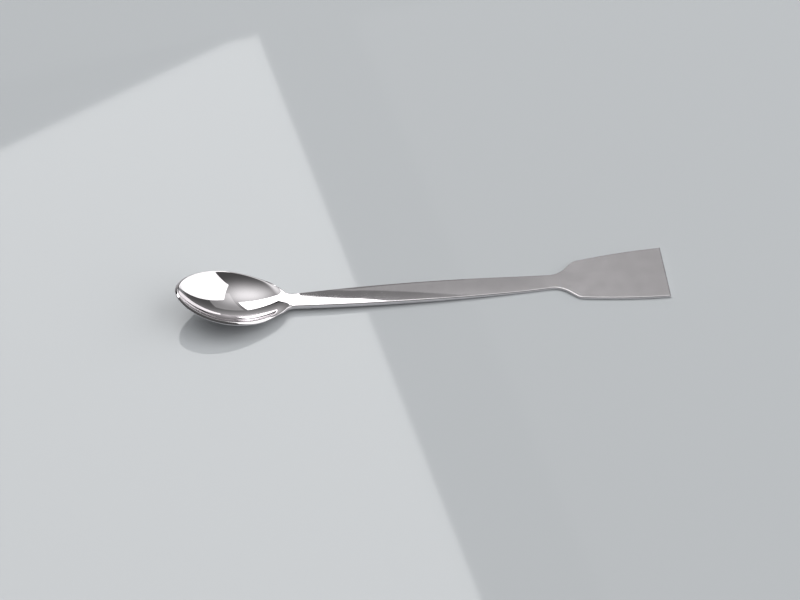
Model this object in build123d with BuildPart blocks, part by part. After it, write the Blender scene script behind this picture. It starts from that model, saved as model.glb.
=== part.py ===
from build123d import *
import os
from math import asin, atan2, cos, degrees, hypot, sin

# A chemist's double-ended spatula, pressed and polished from one piece of steel: a pointed spoon
# bowl at one end, a flat handle, and a thin blade that flares out to a straight end.
# Millimetres, +Z up. The bowl points to -X and the blade to +X, the piece is even about the XZ
# plane, and it lies on z = 0 on the bottom of its bowl and the underside of its blade.

# ---- driving dimensions ----
overall_length = 150.0  # bowl tip to blade end

bowl_length = 34.5  # in plan, tip to neck
bowl_width = 22.2  # outside, at the rim
bowl_widest = 16.8  # from the tip, along the rim's chord
bowl_depth = 6.75  # outside, below the rim's chord
bowl_wall = 0.9
rim_sag = 0.85  # the rim dips below its chord, seen from the side
rim_rise = 9.0  # tip of the rim above the neck end of the rim

neck_width = 5.1
neck_thickness = 1.7
neck_radius = 5.0  # in plan, where the neck's sides spread into the bowl
neck_spread = 50.0  # degrees that the sides have turned where they meet the bowl
neck_into_bowl = 6.0  # the handle reaches this far in under the rim
root_rise = 1.6  # its underside climbs this much to follow the back of the bowl
neck_from_bowl = 1.5  # where the handle's sides begin, past the bowl

handle_width = 7.6  # at its widest
handle_widest = 79.0  # from the bowl tip
handle_end_width = 5.2  # where it runs into the blade
handle_crown = 0.25  # lengthwise arch of the handle's top
handle_flat_from = 106.0  # from the bowl tip: the handle lies flat from here on

blade_length = 27.8  # shoulders to end
blade_shoulder_width = 15.0
blade_end_width = 20.2
blade_side_bulge = 0.5
blade_thickness = 1.0

flare_length = 5.0  # from the handle out to the shoulders
flare_radius = 8.0
shoulder_radius = 1.5
corner_radius = 0.4
edge_radius = 0.3  # polished edges of the handle and blade
rim_radius = 0.12  # outer edge of the rim
neck_bend_radius = 40.0  # the top's slight bend at the neck
blade_bend_radius = 200.0  # and the slighter ones where the handle comes down flat

# ---- worked-out places ----
tip_x = -overall_length / 2
end_x = overall_length / 2
neck_x = tip_x + bowl_length
root_x = neck_x - neck_into_bowl
sides_x = neck_x + neck_from_bowl
widest_x = tip_x + handle_widest
flat_x = tip_x + handle_flat_from
shoulder_x = end_x - blade_length
flare_x = shoulder_x - flare_length

# The rim's chord runs from the tip down to the neck, in the XZ plane.
rim_chord = hypot(bowl_length, rim_rise)
rim_pitch = atan2(rim_rise, bowl_length)

# Along the chord the outside is two arcs, tangent where the bowl is deepest.
front_radius = (bowl_widest**2 + bowl_depth**2) / (2 * bowl_depth)
back_run = rim_chord - bowl_widest
back_radius = (back_run**2 + bowl_depth**2) / (2 * bowl_depth)
overrun = 4.0  # degrees that the arcs run on above the rim, where they are cut off
front_angle = degrees(asin(bowl_widest / front_radius)) + overrun
back_angle = degrees(asin(back_run / back_radius)) + overrun

# Across the chord it is a circle through both sides of the rim, so the outside is a body of
# revolution about an axis above the rim and parallel to its chord.
rim_to_bottom = bowl_depth - rim_sag
cross_radius = ((bowl_width / 2) ** 2 + rim_to_bottom**2) / (2 * rim_to_bottom)
axis_above_rim = cross_radius - bowl_depth

# The bowl's lowest point is on z = 0. It is on the back arc, where that arc is level.
arc_centre_below_chord = bowl_depth - back_radius
lowest_below_tip = bowl_widest * sin(rim_pitch) + arc_centre_below_chord * cos(rim_pitch) + back_radius
tip_z = lowest_below_tip
neck_z = tip_z - rim_rise

bowl_plane = Plane(
    origin=(tip_x, 0, tip_z),
    x_dir=(cos(rim_pitch), 0, -sin(rim_pitch)),
    z_dir=(0, -1, 0),
)
bowl_axis = Axis(
    bowl_plane.from_local_coords((0, axis_above_rim, 0)),
    bowl_plane.x_dir,
)
root_z = neck_z - neck_thickness + root_rise
rim_middle = bowl_plane.from_local_coords((rim_chord / 2, -rim_sag, 0))
near = 0.01  # how near a corner or edge has to be to count as at a place
clear = 2 * cross_radius  # cutting shapes reach this far, past all of the body of revolution


def bowl_body(inset):
    """Half-section of the bowl's body of revolution, `inset` inside its outer skin."""
    with BuildSketch(bowl_plane) as half_section:
        with BuildLine():
            front = CenterArc(
                (bowl_widest, front_radius - bowl_depth), front_radius - inset, 270, -front_angle
            )
            back = CenterArc(
                (bowl_widest, back_radius - bowl_depth), back_radius - inset, 270, back_angle
            )
            Polyline(
                back @ 1,
                ((back @ 1).X, axis_above_rim),
                ((front @ 1).X, axis_above_rim),
                front @ 1,
            )
        make_face()
    return half_section.sketch


def cut_above_top():
    """Cut along the piece's top line: the rim, the handle's arched top and the blade."""
    with BuildSketch(Plane.XZ) as above:
        with BuildLine():
            rim = ThreePointArc((tip_x, tip_z), (rim_middle.X, rim_middle.Z), (neck_x, neck_z))
            handle_middle = (neck_x + flat_x) / 2
            top_middle = (neck_z + blade_thickness) / 2 + handle_crown
            top = ThreePointArc(
                rim @ 1, (handle_middle, top_middle), (flat_x, blade_thickness)
            )
            blade = Line(top @ 1, (end_x + clear, blade_thickness))
            Polyline(
                blade @ 1,
                (end_x + clear, tip_z + clear),
                (tip_x - clear, tip_z + clear),
                (tip_x - clear, tip_z),
                rim @ 0,
            )
        make_face()
        fillet(above.vertices().sort_by_distance(rim @ 1)[0], neck_bend_radius)
        fillet(above.vertices().sort_by_distance(top @ 1)[0], blade_bend_radius)
    extrude(above.sketch, amount=clear, both=True, mode=Mode.SUBTRACT)


# ---- handle and blade ----
with BuildPart() as strip:
    with BuildSketch(Plane.XY.offset(-near)) as plan:
        with BuildLine():
            spread = CenterArc(
                (sides_x, neck_width / 2 + neck_radius), neck_radius, 270, -neck_spread
            )
            Polyline(spread @ 1, (root_x, (spread @ 1).Y), (root_x, 0))
            side = ThreePointArc(
                spread @ 0, (widest_x, handle_width / 2), (flare_x, handle_end_width / 2)
            )
            flare = Line(side @ 1, (shoulder_x, blade_shoulder_width / 2))
            blade_middle = (blade_shoulder_width + blade_end_width) / 4 + blade_side_bulge
            ThreePointArc(
                flare @ 1,
                ((shoulder_x + end_x) / 2, blade_middle),
                (end_x, blade_end_width / 2),
            )
            Line((end_x, blade_end_width / 2), (end_x, 0))
            mirror(about=Plane.XZ)
        make_face()
        for corner_x, radius in (
            (flare_x, flare_radius),
            (shoulder_x, shoulder_radius),
            (end_x, corner_radius),
        ):
            corners = plan.vertices().filter_by_position(Axis.X, corner_x - near, corner_x + near)
            fillet(corners, radius)
    extrude(amount=tip_z)
    cut_above_top()
    with BuildSketch(Plane.XZ) as below:
        with BuildLine():
            Polyline(
                (root_x - clear, -clear),
                (root_x - clear, root_z),
                (root_x, root_z),
                (sides_x, neck_z - neck_thickness),
                (flat_x, 0),
                (end_x + clear, 0),
                (end_x + clear, -clear),
                close=True,
            )
        make_face()
        fillet(below.vertices().sort_by_distance((flat_x, 0))[0], blade_bend_radius)
    extrude(amount=clear, both=True, mode=Mode.SUBTRACT)
    outside = strip.edges().filter_by_position(Axis.X, sides_x + near, end_x + near)
    upright = strip.edges().filter_by(Axis.Z)
    across = strip.edges().filter_by(Axis.Y).filter_by_position(Axis.X, tip_x, end_x - near)
    fillet([edge for edge in outside if edge not in upright + across], edge_radius)

# ---- the whole piece ----
with BuildPart() as spatula:
    revolve(bowl_body(0), axis=bowl_axis)
    cut_above_top()
    outer_rim = spatula.faces().sort_by(Axis.Z)[-1].edges()
    fillet(outer_rim, rim_radius)
    add(strip.part)
    revolve(bowl_body(bowl_wall), axis=bowl_axis, mode=Mode.SUBTRACT)

spatula.part.label = "spatula"
os.makedirs("parts", exist_ok=True)
export_step(spatula.part, "parts/spatula.step")
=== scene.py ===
"""The looks of a chemist's spatula: polished steel, a pale floor, soft lights and the camera.

The spatula's own sizes are in mm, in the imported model's frame: x along its length, 0 at its middle.
"""

from math import atan2, cos, hypot, pi, radians, sin

import bpy
import numpy as np
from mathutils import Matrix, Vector


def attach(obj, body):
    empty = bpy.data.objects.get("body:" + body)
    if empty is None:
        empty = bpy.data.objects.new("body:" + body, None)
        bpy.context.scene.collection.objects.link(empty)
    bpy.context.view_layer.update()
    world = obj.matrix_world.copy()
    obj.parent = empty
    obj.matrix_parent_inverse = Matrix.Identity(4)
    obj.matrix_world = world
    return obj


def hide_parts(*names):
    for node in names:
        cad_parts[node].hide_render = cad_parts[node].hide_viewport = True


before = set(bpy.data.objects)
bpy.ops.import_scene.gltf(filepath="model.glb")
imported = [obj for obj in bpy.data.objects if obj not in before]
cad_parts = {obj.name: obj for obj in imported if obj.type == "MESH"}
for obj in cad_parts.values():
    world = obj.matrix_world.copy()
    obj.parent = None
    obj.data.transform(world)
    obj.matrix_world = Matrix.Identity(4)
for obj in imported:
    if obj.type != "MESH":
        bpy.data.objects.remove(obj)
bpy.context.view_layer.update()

MM = 0.001
scene = bpy.context.scene

# ---- the spatula's sizes ----
LENGTH = 150.0
TIP_X = -LENGTH / 2
END_X = LENGTH / 2
BOWL_LENGTH = 34.5
BOWL_WIDTH = 22.2
BOWL_WIDEST = 16.8    # from the tip, along the rim's chord
BOWL_DEPTH = 6.75
BOWL_WALL = 0.65
RIM_SAG = 0.85
RIM_RISE = 9.0        # the tip above the neck end of the rim
NECK_X = TIP_X + BOWL_LENGTH
NECK_WIDTH = 5.1
NECK_THICKNESS = 1.7
NECK_RADIUS = 5.0     # in plan, where the neck's sides spread into the bowl
NECK_SPREAD_TO = 4.3  # half-width that the spread reaches
SIDES_X = NECK_X + 1.5
HANDLE_WIDTH = 7.6
HANDLE_WIDEST_X = TIP_X + 79.0
HANDLE_END_WIDTH = 5.2
HANDLE_CROWN = 0.25
FLAT_X = TIP_X + 106.0
SHOULDER_X = END_X - 27.8
FLARE_X = SHOULDER_X - 5.0
SHOULDER_WIDTH = 15.0
END_WIDTH = 20.2
SIDE_BULGE = 0.5
BLADE_THICKNESS = 1.0

# ---- how the surfaces are eased ----
EDGE = 0.35           # rounding of the handle's and blade's edges
RIM_EDGE_LESS = 0.17  # and how much less it is at the rim
RIM_FALL = 0.65       # how steeply the rim's face tips outward
RIM_DROP = 1.05       # how far down the rim's outer side reaches
RIM_TRIM = 0.18       # how far the rim's sharp outer edge is taken back
SHARP = 0.10          # width of the bend between the rim and the hollow
TAIL_BLEND = 1.7      # and of the one between the hollow and the neck
HANDLE_DOME = 0.16    # the handle's sides lie this far below its middle
BLADE_DOME = 0.03
NECK_DOME = 0.03
FLARE_BLEND = 3.0     # widths over which the outline bends at the flare and the shoulder
SHOULDER_BLEND = 0.7
ROOT_CLIMB = 0.07     # how fast the neck's underside climbs towards the bowl, per mm squared

# ---- the mesh ----
JOIN_X = NECK_X + 0.6     # the bowl's rings end and the handle's stations begin
CENTRE_X = TIP_X + 17.0   # the rings' middle
ACROSS = 28           # columns across the handle
AROUND = 240          # columns round the bowl
RINGS = 56            # rings in the bowl's hollow
RIM_ROWS = 9
STATIONS = 300
EDGE_ROWS = 6
OUTLINE_POINTS = 260

# The bowl's outside is two arcs along its chord, and a circle across it, as in the CAD model.
CHORD = hypot(BOWL_LENGTH, RIM_RISE)
PITCH = atan2(RIM_RISE, BOWL_LENGTH)
FRONT_RADIUS = (BOWL_WIDEST**2 + BOWL_DEPTH**2) / (2 * BOWL_DEPTH)
BACK_RUN = CHORD - BOWL_WIDEST
BACK_RADIUS = (BACK_RUN**2 + BOWL_DEPTH**2) / (2 * BOWL_DEPTH)
RIM_TO_BOTTOM = BOWL_DEPTH - RIM_SAG
CROSS_RADIUS = ((BOWL_WIDTH / 2) ** 2 + RIM_TO_BOTTOM**2) / (2 * RIM_TO_BOTTOM)
AXIS_UP = CROSS_RADIUS - BOWL_DEPTH
TIP_Z = BOWL_WIDEST * sin(PITCH) + (BOWL_DEPTH - BACK_RADIUS) * cos(PITCH) + BACK_RADIUS
NECK_Z = TIP_Z - RIM_RISE


def smooth_min(a, b, k):
    """The lower of a and b, rounded over a width k where they cross."""
    h = np.clip(0.5 + 0.5 * (b - a) / k, 0, 1)
    return b * (1 - h) + a * h - k * h * (1 - h)


def smooth_step(t):
    t = np.clip(t, 0, 1)
    return t * t * (3 - 2 * t)


def in_bowl(x):
    """1 along the bowl's rim, easing to 0 before the neck."""
    return 1 - smooth_step((x - NECK_X + 10) / 7)


# ---- surfaces ----
def rim_z(x):
    """The piece's top line: rim, arched handle, flat blade, with its two bends eased."""
    middle_x = TIP_X + CHORD / 2 * cos(PITCH) - RIM_SAG * sin(PITCH)
    middle_z = TIP_Z - CHORD / 2 * sin(PITCH) - RIM_SAG * cos(PITCH)
    bow = np.polyfit((TIP_X, middle_x, NECK_X), (TIP_Z, middle_z, NECK_Z), 2)
    rim = np.polyval(bow, x)
    along = (x - NECK_X) / (FLAT_X - NECK_X)
    arch = NECK_Z + (BLADE_THICKNESS - NECK_Z) * along + 4 * HANDLE_CROWN * along * (1 - along)
    past = -smooth_min(-arch, -BLADE_THICKNESS + 0 * x, 0.12)
    t = smooth_step((x - NECK_X + 2.0) / 5.0)
    return rim * (1 - t) + past * t


def bowl_z(x, y, inset):
    """Height of the bowl's skin, `inset` inside the outer one, at plan points (x, y)."""
    z = np.full_like(x, 1.0)
    for _ in range(14):
        u = (x - TIP_X) * cos(PITCH) - (z - TIP_Z) * sin(PITCH)
        front = (FRONT_RADIUS - inset) ** 2 - (u - BOWL_WIDEST) ** 2
        back = (BACK_RADIUS - inset) ** 2 - (u - BOWL_WIDEST) ** 2
        r_front = np.sqrt(np.maximum(front, 0)) - (FRONT_RADIUS - BOWL_DEPTH - AXIS_UP)
        r_back = np.sqrt(np.maximum(back, 0)) - (BACK_RADIUS - BOWL_DEPTH - AXIS_UP)
        across = np.where(u < BOWL_WIDEST, r_front, r_back) ** 2 - y**2
        up = AXIS_UP - np.sqrt(np.maximum(across, 0))
        u = (x - TIP_X - up * sin(PITCH)) / cos(PITCH)
        z = TIP_Z - u * sin(PITCH) + up * cos(PITCH)
    return z


def top_z(x, y):
    """The upper surface: the hollow below the top line, and the handle domed a little across."""
    dome = np.interp(x, (NECK_X, NECK_X + 20, FLARE_X - 30, FLARE_X - 4, END_X),
                     (NECK_DOME, HANDLE_DOME, HANDLE_DOME, BLADE_DOME, BLADE_DOME))
    half = np.maximum(outline_half(x), 1)
    past_neck = smooth_step((x - NECK_X + 1) / 2)
    line = rim_z(x) - dome * np.clip(y / half, -1, 1) ** 2 * past_neck
    hollow = np.where(x < NECK_X + 5, bowl_z(x, y, BOWL_WALL), line + 5)
    line = line - RIM_FALL * np.maximum(hollow - line, 0) * in_bowl(x)
    bend = SHARP + (TAIL_BLEND - SHARP) * smooth_step((x - NECK_X + 9) / 9)
    return smooth_min(line, hollow, bend)


def bottom_z(x, y):
    """The underside: the bowl's back, run into the handle's flat underside."""
    line = (NECK_Z - NECK_THICKNESS) * (FLAT_X - x) / (FLAT_X - SIDES_X)
    line = -smooth_min(-line, 0 * x, 0.05)
    line = line + ROOT_CLIMB * np.maximum(SIDES_X - x, 0) ** 2
    back = np.where(x < NECK_X + 0.5, bowl_z(x, y, 0.0), line + 5)
    side = smooth_min(back, rim_z(x) - RIM_DROP, 0.4)
    back = np.where(x < NECK_X - 2, back + (side - back) * in_bowl(x), back)
    return np.maximum(smooth_min(line, back, 0.5), 0.0)


# ---- outline in plan ----
def outline_half(x):
    """Half-width of the handle and blade in plan."""
    side = np.polyfit(
        (SIDES_X, HANDLE_WIDEST_X, FLARE_X),
        (NECK_WIDTH / 2, HANDLE_WIDTH / 2, HANDLE_END_WIDTH / 2), 2)
    handle = np.polyval(side, x)
    slope = (SHOULDER_WIDTH - HANDLE_END_WIDTH) / 2 / (SHOULDER_X - FLARE_X)
    flare = HANDLE_END_WIDTH / 2 + slope * (x - FLARE_X)
    spread = -smooth_min(-handle, -flare, FLARE_BLEND)
    t = (x - SHOULDER_X) / (END_X - SHOULDER_X)
    blade = SHOULDER_WIDTH / 2 + (END_WIDTH - SHOULDER_WIDTH) / 2 * t + 4 * SIDE_BULGE * t * (1 - t)
    return np.where(x < FLARE_X - 8, handle, smooth_min(spread, blade, SHOULDER_BLEND))


def rim_half(x):
    """Half-width at which the bowl's outer skin meets the top line."""
    low = np.zeros_like(x)
    high = np.full_like(x, BOWL_WIDTH / 2 + 1)
    for _ in range(40):
        middle = (low + high) / 2
        inside = bowl_z(x, middle, 0.0) < rim_z(x)
        low = np.where(inside, middle, low)
        high = np.where(inside, high, middle)
    return low


def half_width(x):
    """Half-width of the whole outline in plan, bowl, neck, handle and blade."""
    past = np.minimum(x - SIDES_X, 0)
    arc = NECK_WIDTH / 2 + NECK_RADIUS - np.sqrt(np.maximum(NECK_RADIUS**2 - past**2, 0))
    handle = np.where(x < SIDES_X, np.minimum(arc, NECK_SPREAD_TO), outline_half(x))
    bowl = rim_half(np.minimum(x, NECK_X)) - 3 * np.maximum(x - NECK_X, 0)
    neck = -smooth_min(-bowl, -handle, 0.7)
    return np.where(x < NECK_X - 12, bowl, np.where(x < NECK_X + 3, neck, handle))


def bowl_outline():
    """The bowl's +Y side from the join to the tip, at even angles about the rings' middle."""
    t = 1 - np.cos(np.linspace(0, pi / 2, OUTLINE_POINTS))
    x = t * (JOIN_X - TIP_X) + TIP_X
    half = half_width(x)
    angle = np.arctan2(half, x - CENTRE_X)
    around = np.linspace(angle[-1], pi, AROUND // 2 + 1)
    return np.interp(around, angle[::-1], x[::-1]), np.interp(around, angle[::-1], half[::-1])


def plan_normals(x, y):
    """Outward normals of a closed anticlockwise loop, longer at corners to keep an inset even."""
    dx1, dy1 = x - np.roll(x, 1), y - np.roll(y, 1)
    dx2, dy2 = np.roll(x, -1) - x, np.roll(y, -1) - y
    l1, l2 = np.hypot(dx1, dy1), np.hypot(dx2, dy2)
    n1 = np.stack([dy1 / l1, -dx1 / l1])
    n2 = np.stack([dy2 / l2, -dx2 / l2])
    n = n1 + n2
    size = np.maximum((n**2).sum(0), 0.5)
    return 2 * n / size


def hollow_reach(x, y, full):
    """How far out from the rings' middle the hollow's edge lies, towards each point (x, y)."""
    ux, uy = (x - CENTRE_X) / full, y / full
    low, high = np.full_like(x, 1.0), full.copy()
    for _ in range(34):
        r = (low + high) / 2
        px, py = CENTRE_X + ux * r, uy * r
        below = bowl_z(px, py, BOWL_WALL) < rim_z(px)
        low, high = np.where(below, r, low), np.where(below, high, r)
    return low


# ---- mesh ----
def grid_faces(rows, closed):
    """Quads between successive rows of vertex numbers."""
    faces = []
    for a, b in zip(rows[:-1], rows[1:]):
        n = len(a)
        for i in range(n if closed else n - 1):
            j = (i + 1) % n
            faces.append((a[i], a[j], b[j], b[i]))
    return faces


def spatula_mesh():
    """The whole spatula as one closed mesh whose lines follow its rim and edges."""
    bx, by = bowl_outline()
    hx = np.linspace(JOIN_X, END_X, STATIONS)
    hy = half_width(hx)
    across_by = np.sin(np.linspace(-pi / 2, pi / 2, ACROSS + 1))

    # A closed loop, anticlockwise: +Y join, tip, -Y join, -Y side, blade's end, +Y side.
    lx = np.concatenate([bx, bx[-2::-1], hx[1:], np.full(ACROSS - 1, END_X), hx[:0:-1]])
    ly = np.concatenate([by, -by[-2::-1], -hy[1:], across_by[1:-1] * hy[-1], hy[:0:-1]])
    nx, ny = plan_normals(lx, ly)
    trim = RIM_TRIM * (1 - smooth_step((lx - NECK_X + 4) / 3))
    lx, ly = lx - nx * trim, ly - ny * trim
    side_top = top_z(lx, ly)
    tall = np.maximum(side_top - bottom_z(lx, ly), 0.05)
    round_by = np.minimum(EDGE - RIM_EDGE_LESS * in_bowl(lx), 0.45 * tall)
    n_bowl, n_side = len(bx) * 2 - 1, len(hx) - 1
    verts, faces = [], []

    def add(x, y, z):
        first = sum(len(v) for v in verts)
        verts.append(np.stack([x, y, z], 1))
        return np.arange(first, first + len(x))

    def bowl_rings(surface, loop, ex, ey):
        """Rings from the bowl's middle out to its rim and the join. Returns faces and the join."""
        neck_x = np.full(ACROSS - 1, ex[0])
        neck_y = ey[0] * across_by[::-1][1:-1]
        across = add(neck_x, neck_y, surface(neck_x, neck_y))
        ring_x = np.concatenate([ex[:n_bowl], neck_x])
        ring_y = np.concatenate([ey[:n_bowl], neck_y[::-1]])
        full = np.hypot(ring_x - CENTRE_X, ring_y)
        reach = hollow_reach(ring_x, ring_y, full)
        ux, uy = (ring_x - CENTRE_X) / full, ring_y / full
        levels = [(k / RINGS, 0.0) for k in range(2, RINGS + 1)]
        levels += [(1.0, 1 - (1 - k / RIM_ROWS) ** 2) for k in range(1, RIM_ROWS)]
        rows = []
        for hollow, rim in levels:
            r = reach * hollow + (full - reach) * rim
            x, y = CENTRE_X + ux * r, uy * r
            rows.append(add(x, y, surface(x, y)))
        rows.append(np.concatenate([loop[:n_bowl], across[::-1]]))
        pole = np.array([CENTRE_X]), np.array([0.0])
        middle = add(*pole, surface(*pole))[0]
        made = [(middle, b, a) for a, b in zip(rows[0], np.roll(rows[0], -1))]
        return made + grid_faces(rows, True), across

    def handle_lines(surface, loop, ex, ey, across):
        """Lines across the handle and blade, from the join to the end."""
        low_side = loop[n_bowl - 1:n_bowl + n_side]
        high_side = np.concatenate([[loop[0]], loop[:n_bowl + n_side + ACROSS - 2:-1]])
        lines = [np.concatenate([[loop[n_bowl - 1]], across[::-1], [loop[0]]])]
        for i in range(1, n_side):
            a, b = low_side[i], high_side[i]
            xa, ya, yb = ex[a - loop[0]], ey[a - loop[0]], ey[b - loop[0]]
            y = (yb - ya) / 2 * across_by[1:-1]
            x = hx[i] + (xa - hx[i]) * across_by[1:-1] ** 2
            lines.append(np.concatenate([[a], add(x, y, surface(x, y)), [b]]))
        lines.append(loop[n_bowl + n_side - 1:n_bowl + n_side + ACROSS])
        return grid_faces(lines, False)

    def patch(surface, under):
        """The upper or lower side, out to its rounded edge. Returns its boundary loop."""
        ex, ey = lx - nx * round_by, ly - ny * round_by
        loop = add(ex, ey, surface(ex, ey))
        made, across = bowl_rings(surface, loop, ex, ey)
        made += handle_lines(surface, loop, ex, ey, across)
        faces.extend(made if under else [f[::-1] for f in made])
        return loop

    upper = patch(top_z, False)
    lower = patch(bottom_z, True)
    top_loop, low_loop = np.concatenate(verts)[upper], np.concatenate(verts)[lower]
    drop = np.stack([0 * lx, 0 * lx, round_by], 1)
    high = np.stack([lx, ly, side_top], 1)
    low = np.stack([lx, ly, side_top - tall], 1)
    rows = [upper]
    for t in np.linspace(0, 1, EDGE_ROWS + 1)[1:]:
        p = (1 - t) ** 2 * top_loop + 2 * t * (1 - t) * high + t**2 * (high - drop)
        rows.append(add(*p.T))
    for t in np.linspace(0, 1, EDGE_ROWS + 1)[:-1]:
        p = (1 - t) ** 2 * (low + drop) + 2 * t * (1 - t) * low + t**2 * low_loop
        rows.append(add(*p.T))
    rows.append(lower)
    faces.extend(f[::-1] for f in grid_faces(rows, True))
    return np.concatenate(verts), faces


def make_spatula():
    points, faces = spatula_mesh()
    mesh = bpy.data.meshes.new("spatula_steel")
    mesh.from_pydata((points * MM).tolist(), [], [tuple(int(i) for i in f) for f in faces])
    mesh.validate()
    mesh.update()
    mesh.polygons.foreach_set("use_smooth", [True] * len(mesh.polygons))
    mesh.materials.append(steel_material())
    piece = bpy.data.objects.new("spatula_steel", mesh)
    scene.collection.objects.link(piece)
    return piece


# ---- materials ----
BRIGHT_ROUGHNESS = 0.035  # bowl, neck and the handle's first half
SATIN_ROUGHNESS = 0.17    # blade
SATIN_FROM_X = 12.0
LINE_ROUGHNESS = 0.08     # how much the polishing lines and the clouding vary it
CLOUD_ROUGHNESS = 0.05
MEAN_VARIATION = 0.06     # taken off again, so that the two only vary it


def new_material(name):
    material = bpy.data.materials.new(name)
    material.use_nodes = True
    nodes = material.node_tree.nodes
    return material, nodes, material.node_tree.links, nodes["Principled BSDF"]


def plain_material(name, colour, roughness):
    material, _, _, shader = new_material(name)
    shader.inputs["Base Color"].default_value = (*colour, 1)
    shader.inputs["Roughness"].default_value = roughness
    return material


def math_node(nodes, links, operation, source, *constants):
    """A Math node fed by `source`, with its other inputs set to the constants."""
    node = nodes.new("ShaderNodeMath")
    node.operation = operation
    links.new(source, node.inputs[0])
    for i, value in enumerate(constants, 1):
        node.inputs[i].default_value = value
    return node


def noise_node(nodes, links, vector, scale, detail):
    node = nodes.new("ShaderNodeTexNoise")
    node.inputs["Scale"].default_value = scale
    node.inputs["Detail"].default_value = detail
    links.new(vector, node.inputs["Vector"])
    return node


def steel_material():
    """Stainless steel, bright at the bowl and satin at the blade, with polishing lines."""
    material, nodes, links, shader = new_material("polished_steel")
    shader.inputs["Metallic"].default_value = 1.0
    place = nodes.new("ShaderNodeTexCoord").outputs["Object"]
    split = nodes.new("ShaderNodeSeparateXYZ")
    links.new(place, split.inputs[0])
    along = nodes.new("ShaderNodeMapRange")
    along.inputs["From Min"].default_value = SATIN_FROM_X * MM
    along.inputs["From Max"].default_value = SHOULDER_X * MM
    along.inputs["To Min"].default_value = BRIGHT_ROUGHNESS
    along.inputs["To Max"].default_value = SATIN_ROUGHNESS
    links.new(split.outputs["X"], along.inputs["Value"])

    # Polishing lines run along the piece.
    stretch = nodes.new("ShaderNodeMapping")
    stretch.inputs["Scale"].default_value = (60, 2600, 2600)
    links.new(place, stretch.inputs["Vector"])
    lines = noise_node(nodes, links, stretch.outputs[0], 1.0, 4.0).outputs["Fac"]
    clouds = noise_node(nodes, links, place, 220.0, 3.0).outputs["Fac"]
    grain = math_node(nodes, links, "MULTIPLY_ADD", lines, LINE_ROUGHNESS)
    links.new(along.outputs["Result"], grain.inputs[2])
    rough = math_node(nodes, links, "MULTIPLY_ADD", clouds, CLOUD_ROUGHNESS)
    links.new(grain.outputs[0], rough.inputs[2])
    less = math_node(nodes, links, "SUBTRACT", rough.outputs[0], MEAN_VARIATION)
    links.new(less.outputs[0], shader.inputs["Roughness"])

    tone = nodes.new("ShaderNodeValToRGB")
    tone.color_ramp.elements[0].color = (0.70, 0.675, 0.69, 1)
    tone.color_ramp.elements[1].color = (0.80, 0.775, 0.79, 1)
    links.new(clouds, tone.inputs["Fac"])
    links.new(tone.outputs["Color"], shader.inputs["Base Color"])
    bump = nodes.new("ShaderNodeBump")
    bump.inputs["Strength"].default_value = 0.012
    bump.inputs["Distance"].default_value = 0.00002
    links.new(lines, bump.inputs["Height"])
    links.new(bump.outputs["Normal"], shader.inputs["Normal"])
    return material


def floor_material():
    """Pale grey-green glossy sheet."""
    material = plain_material("pale_floor", (0.575, 0.60, 0.62), 0.03)
    material.node_tree.nodes["Principled BSDF"].inputs["IOR"].default_value = 1.55
    return material


# ---- camera: level, looking down, with the object turned and shifted a little in its frame ----
ELEVATION = radians(48.0)
TURN = radians(6.63)
SHIFT_X, SHIFT_Y = 6.84, 2.30
LENS = 135.4
DISTANCE = 914.9


def in_object_frame(x, y, z):
    """A place in the camera's level frame, in mm, as metres in the object's frame."""
    x, y = x - SHIFT_X, y - SHIFT_Y
    return Vector((cos(TURN) * x + sin(TURN) * y, -sin(TURN) * x + cos(TURN) * y, z)) * MM


def make_camera():
    data = bpy.data.cameras.new("camera")
    data.lens = LENS
    data.clip_end = 10
    camera = bpy.data.objects.new("camera", data)
    scene.collection.objects.link(camera)
    camera.location = in_object_frame(0, -DISTANCE * cos(ELEVATION), DISTANCE * sin(ELEVATION))
    aim = in_object_frame(0, 0, 0) - camera.location
    camera.rotation_euler = aim.to_track_quat("-Z", "Y").to_euler()
    scene.camera = camera


# ---- studio: places in the camera's level frame, in mm ----
FLOOR_REACH = 3.0         # metres
LAMP_HEIGHT = 1150.0
SLANT = 16.8              # degrees that the overhead lamps are turned
SOFTBOX_WIDTH, SOFTBOX_DEPTH = 1500, 920
GREY_WIDTH, GREY_DEPTH = 1000, 1500
GREY_GAP = 88             # dark gap between the softbox and the grey lamp
STRIP_WIDTH, STRIP_GAP = 45, 137
SIDE_PLACE = (850, -140, 950)
SIDE_HEIGHT, SIDE_DEPTH = 1900, 1680
FLAG_BELOW = 5            # the flag hangs this far below the softbox
FLAG_END = (-1352, 488)   # it cuts the softbox's back edge back to here

SKY_FLOOR = 0.08          # world's level at the horizon
SKY_TOP, SKY_TOP_POWER = 1.1, 8.0
SKY_BACK, SKY_BACK_POWER = 0.55, 6.0


def make_plane(name, corners, material):
    mesh = bpy.data.meshes.new(name)
    mesh.from_pydata([tuple(c) for c in corners], [], [tuple(range(len(corners)))])
    mesh.materials.append(material)
    piece = bpy.data.objects.new(name, mesh)
    scene.collection.objects.link(piece)


def soft_light(name, centre, pitch, turn, width, depth, radiance):
    """A rectangular lamp: its centre in mm, and its pitch and turn in degrees."""
    data = bpy.data.lights.new(name, "AREA")
    data.shape = "RECTANGLE"
    data.size, data.size_y = width * MM, depth * MM
    data.energy = radiance * pi * data.size * data.size_y
    lamp = bpy.data.objects.new(name, data)
    scene.collection.objects.link(lamp)
    lamp.location = in_object_frame(*centre)
    lamp.rotation_euler = (0, radians(pitch), radians(turn) - TURN)


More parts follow.
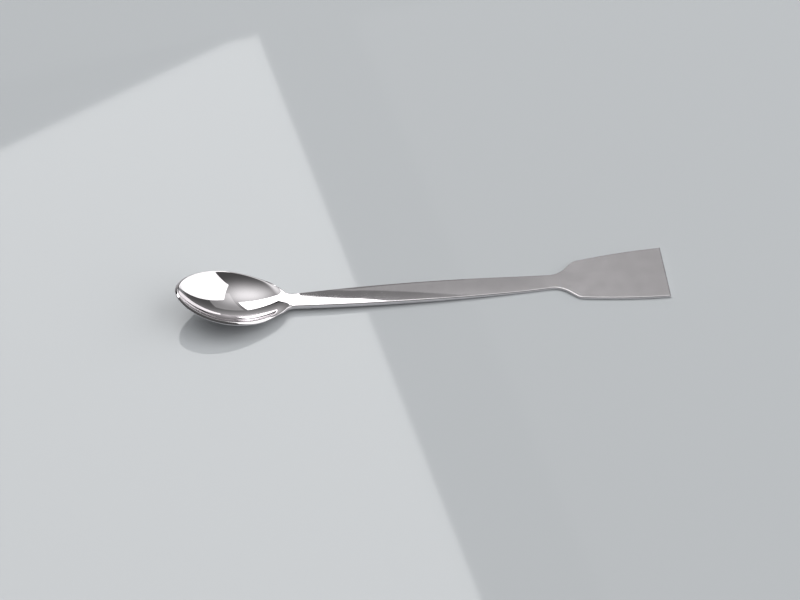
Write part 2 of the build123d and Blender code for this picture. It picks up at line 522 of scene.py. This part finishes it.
def make_lights():
    """A big softbox at the back left, dimmer lamps beside it, and a soft wall at the right."""
    right = Vector((cos(radians(SLANT)), sin(radians(SLANT)), 0))
    front = Vector((sin(radians(SLANT)), -cos(radians(SLANT)), 0))
    corner = Vector((-126, 1351, LAMP_HEIGHT))  # the softbox's right back corner
    softbox = corner - right * SOFTBOX_WIDTH / 2 + front * SOFTBOX_DEPTH / 2
    soft_light("softbox", softbox, 0, SLANT, SOFTBOX_WIDTH, SOFTBOX_DEPTH, 2.6)
    grey = corner + right * (GREY_GAP + GREY_WIDTH / 2) + front * GREY_DEPTH / 2
    soft_light("grey_wall", grey, 0, SLANT, GREY_WIDTH, GREY_DEPTH, 0.2)
    strip = corner + right * STRIP_GAP + front * GREY_DEPTH / 2
    soft_light("pale_strip", strip, 0, SLANT, STRIP_WIDTH, GREY_DEPTH, 0.35)
    soft_light("side_light", SIDE_PLACE, 90, 0, SIDE_HEIGHT, SIDE_DEPTH, 1.45)

    flag_z = LAMP_HEIGHT - FLAG_BELOW
    far = corner - right * (SOFTBOX_WIDTH + 20)
    flag = [(corner.x, corner.y + 5, flag_z), (*FLAG_END, flag_z), (far.x, far.y + 10, flag_z)]
    cloth = plain_material("black_cloth", (0.06, 0.06, 0.065), 0.9)
    make_plane("flag", [in_object_frame(*p) for p in flag], cloth)


def make_world():
    """Dim round the horizon, paler towards the back and brightest overhead."""
    world = bpy.data.worlds.new("studio")
    world.use_nodes = True
    nodes, links = world.node_tree.nodes, world.node_tree.links
    split = nodes.new("ShaderNodeSeparateXYZ")
    links.new(nodes.new("ShaderNodeTexCoord").outputs["Generated"], split.inputs[0])

    def towards(axis, power, level, base):
        ahead = math_node(nodes, links, "MAXIMUM", split.outputs[axis], 0.0)
        raised = math_node(nodes, links, "POWER", ahead.outputs[0], power)
        return math_node(nodes, links, "MULTIPLY_ADD", raised.outputs[0], level, base)

    top = towards("Z", SKY_TOP_POWER, SKY_TOP, SKY_FLOOR)
    back = towards("Y", SKY_BACK_POWER, SKY_BACK, 0.0)
    links.new(top.outputs[0], back.inputs[2])
    links.new(back.outputs[0], nodes["Background"].inputs["Color"])
    scene.world = world


spatula = make_spatula()
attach(spatula, "root")
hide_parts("spatula")

make_camera()
make_plane("floor", [(-FLOOR_REACH, -FLOOR_REACH, 0), (FLOOR_REACH, -FLOOR_REACH, 0),
                     (FLOOR_REACH, FLOOR_REACH, 0), (-FLOOR_REACH, FLOOR_REACH, 0)],
           floor_material())
make_lights()
make_world()
scene.view_settings.view_transform = "Standard"
